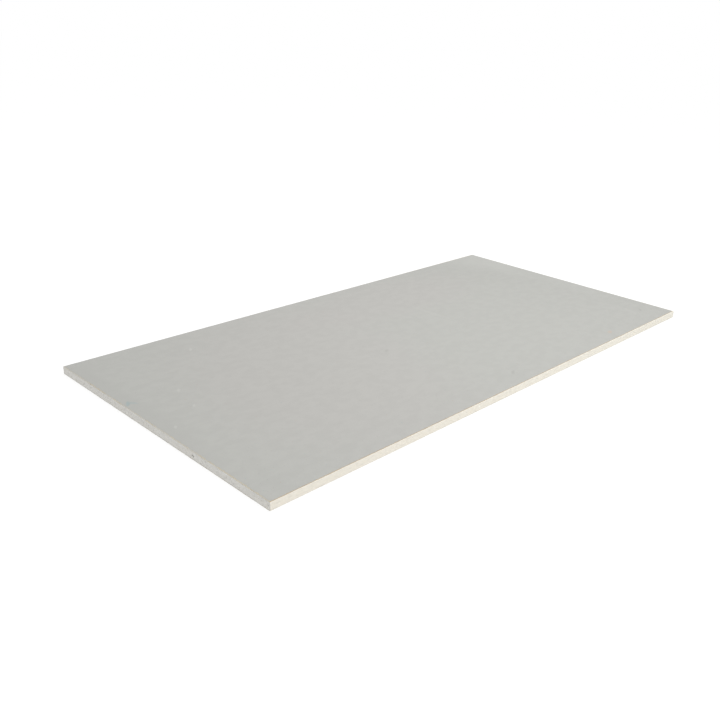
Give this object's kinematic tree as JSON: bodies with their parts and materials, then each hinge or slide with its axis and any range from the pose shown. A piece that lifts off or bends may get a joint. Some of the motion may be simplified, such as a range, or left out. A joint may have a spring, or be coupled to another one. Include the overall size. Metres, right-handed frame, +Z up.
{
  "type": "drywall sheet",
  "caption": "Flat square-edge plasterboard panel: a gypsum core between paper liners, wrapped along its long edges and bare at its cut ends.",
  "frame": {"origin": "centre of the sheet's underside, the face side that it lies on", "axes": "+X along the length, +Y across the width, +Z up out of the back"},
  "size_m": [1.2, 0.6, 0.015],
  "materials": {
    "gypsum": "chalky matt cast plaster, broken and finely pored at the cut ends",
    "face_paper": "smooth matt ivory liner paper",
    "back_paper": "matt light grey recycled liner paper with faint fibre flecks"
  },
  "bodies": {
    "root": {"gypsum_core": "gypsum", "face_paper": "face_paper", "back_paper": "back_paper"}
  },
  "joints": []
}
